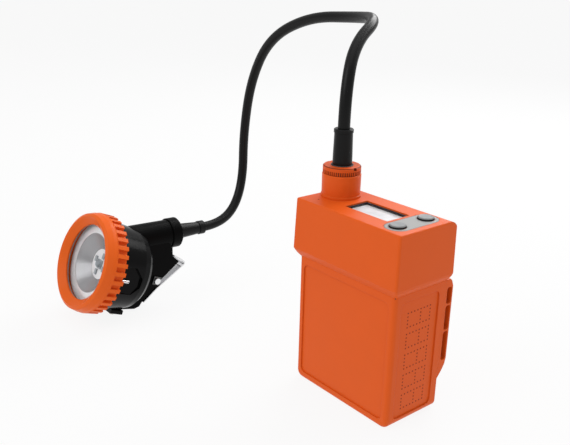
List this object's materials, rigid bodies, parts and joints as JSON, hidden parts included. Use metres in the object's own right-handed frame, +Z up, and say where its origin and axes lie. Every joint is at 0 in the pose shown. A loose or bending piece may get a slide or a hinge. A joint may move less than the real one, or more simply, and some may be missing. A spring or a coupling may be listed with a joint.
{
  "type": "miner's cap lamp",
  "caption": "Belt-worn orange battery pack with a display and push buttons, joined by a rubber cable to a tilted LED headpiece with a toothed screw-on bezel and a spring hook.",
  "frame": {"origin": "middle of the battery pack's bottom face, which stands on the ground plane", "axes": "+Z up, +X across the pack's width to the side away from the headpiece, -Y out of the pack's front face; the beam leaves the headpiece towards -Y with its nose raised"},
  "size_m": [0.2756, 0.173, 0.2239],
  "materials": {
    "orange_shell": "moulded, satin",
    "black_shell": "moulded, satin",
    "black_inside": "matt",
    "rubber": "smooth rubber",
    "clear": "clear polycarbonate",
    "grey_plate": "matt grey",
    "button_grey": "matt grey rubber-like keys",
    "screen": "liquid crystal display, switched off",
    "steel": "spring and screw steel",
    "white_flange": "bright reflector",
    "circuit": "circuit board",
    "white_board": "white solder mask",
    "led": "light emitting diodes",
    "alloy": "die-cast",
    "cell_wrap": "shrink sleeve",
    "nickel": "nickel strip"
  },
  "bodies": {
    "lamp": {"battery_cells": "cell_wrap", "belt_bridge": "orange_shell", "bezel_lock_screw": "steel", "board_screws": "steel", "bracket_screws": "steel", "bridge_screws": "steel", "button_plate": "grey_plate", "cable_retainer": "black_inside", "case_screws": "steel", "cell_tabs": "nickel", "cell_tray_lower": "black_inside", "cell_tray_upper": "black_inside", "charge_contact": "nickel", "contact_tab": "black_shell", "control_board": "circuit", "cord": "rubber", "display_module": "screen", "display_window": "clear", "gland_body": "orange_shell", "gland_nut": "orange_shell", "gland_seal": "rubber", "head_cable_sleeve": "rubber", "head_gland_nut": "rubber", "head_shell": "black_shell", "heat_sink": "alloy", "hook_backing_leaf": "steel", "hook_clip": "steel", "hook_pin": "steel", "led_board": "white_board", "led_chips": "led", "lid_gasket": "rubber", "pack_cable_sleeve": "rubber", "pack_case": "orange_shell", "pack_lid": "orange_shell", "rear_bracket": "black_shell", "reflector": "white_flange", "tact_switches": "black_inside", "window_frame": "black_inside"},
    "button_front": {"button_front": "button_grey"},
    "button_rear": {"button_rear": "button_grey"},
    "lens_cell": {"front_lens": "clear", "lens_gasket": "rubber"},
    "bezel": {"bezel_ring": "orange_shell"},
    "keeper": {"keeper_loop": "steel"}
  },
  "joints": [
    {"name": "button_front_press", "type": "slide", "parent": "lamp", "child": "button_front", "axis": [0, 0, -1], "range_m": [0, 0.0008], "stiffness_N_per_m": 800, "springref_m": -0.0005},
    {"name": "button_rear_press", "type": "slide", "parent": "lamp", "child": "button_rear", "axis": [0, 0, -1], "range_m": [0, 0.0008], "stiffness_N_per_m": 800, "springref_m": -0.0005},
    {"name": "lens_cell_slide", "type": "slide", "parent": "lamp", "child": "lens_cell", "axis": [0, -0.9272, 0.3746], "range_m": [0, 0.0034]},
    {"name": "bezel_unscrew", "type": "hinge", "parent": "lens_cell", "child": "bezel", "pos_m": [-0.196, -0.08588, 0.0425], "axis": [0, -0.9272, 0.3746], "range_deg": [0, 810]},
    {"name": "keeper_swing", "type": "hinge", "parent": "lamp", "child": "keeper", "pos_m": [-0.1852, -0.03774, 0.01938], "axis": [1, 0, 0], "range_deg": [-40, 40]}
  ],
  "couplings": [
    {"joint": "lens_cell_slide", "follows": "bezel_unscrew", "m_per_rad": 0.00023873}
  ]
}
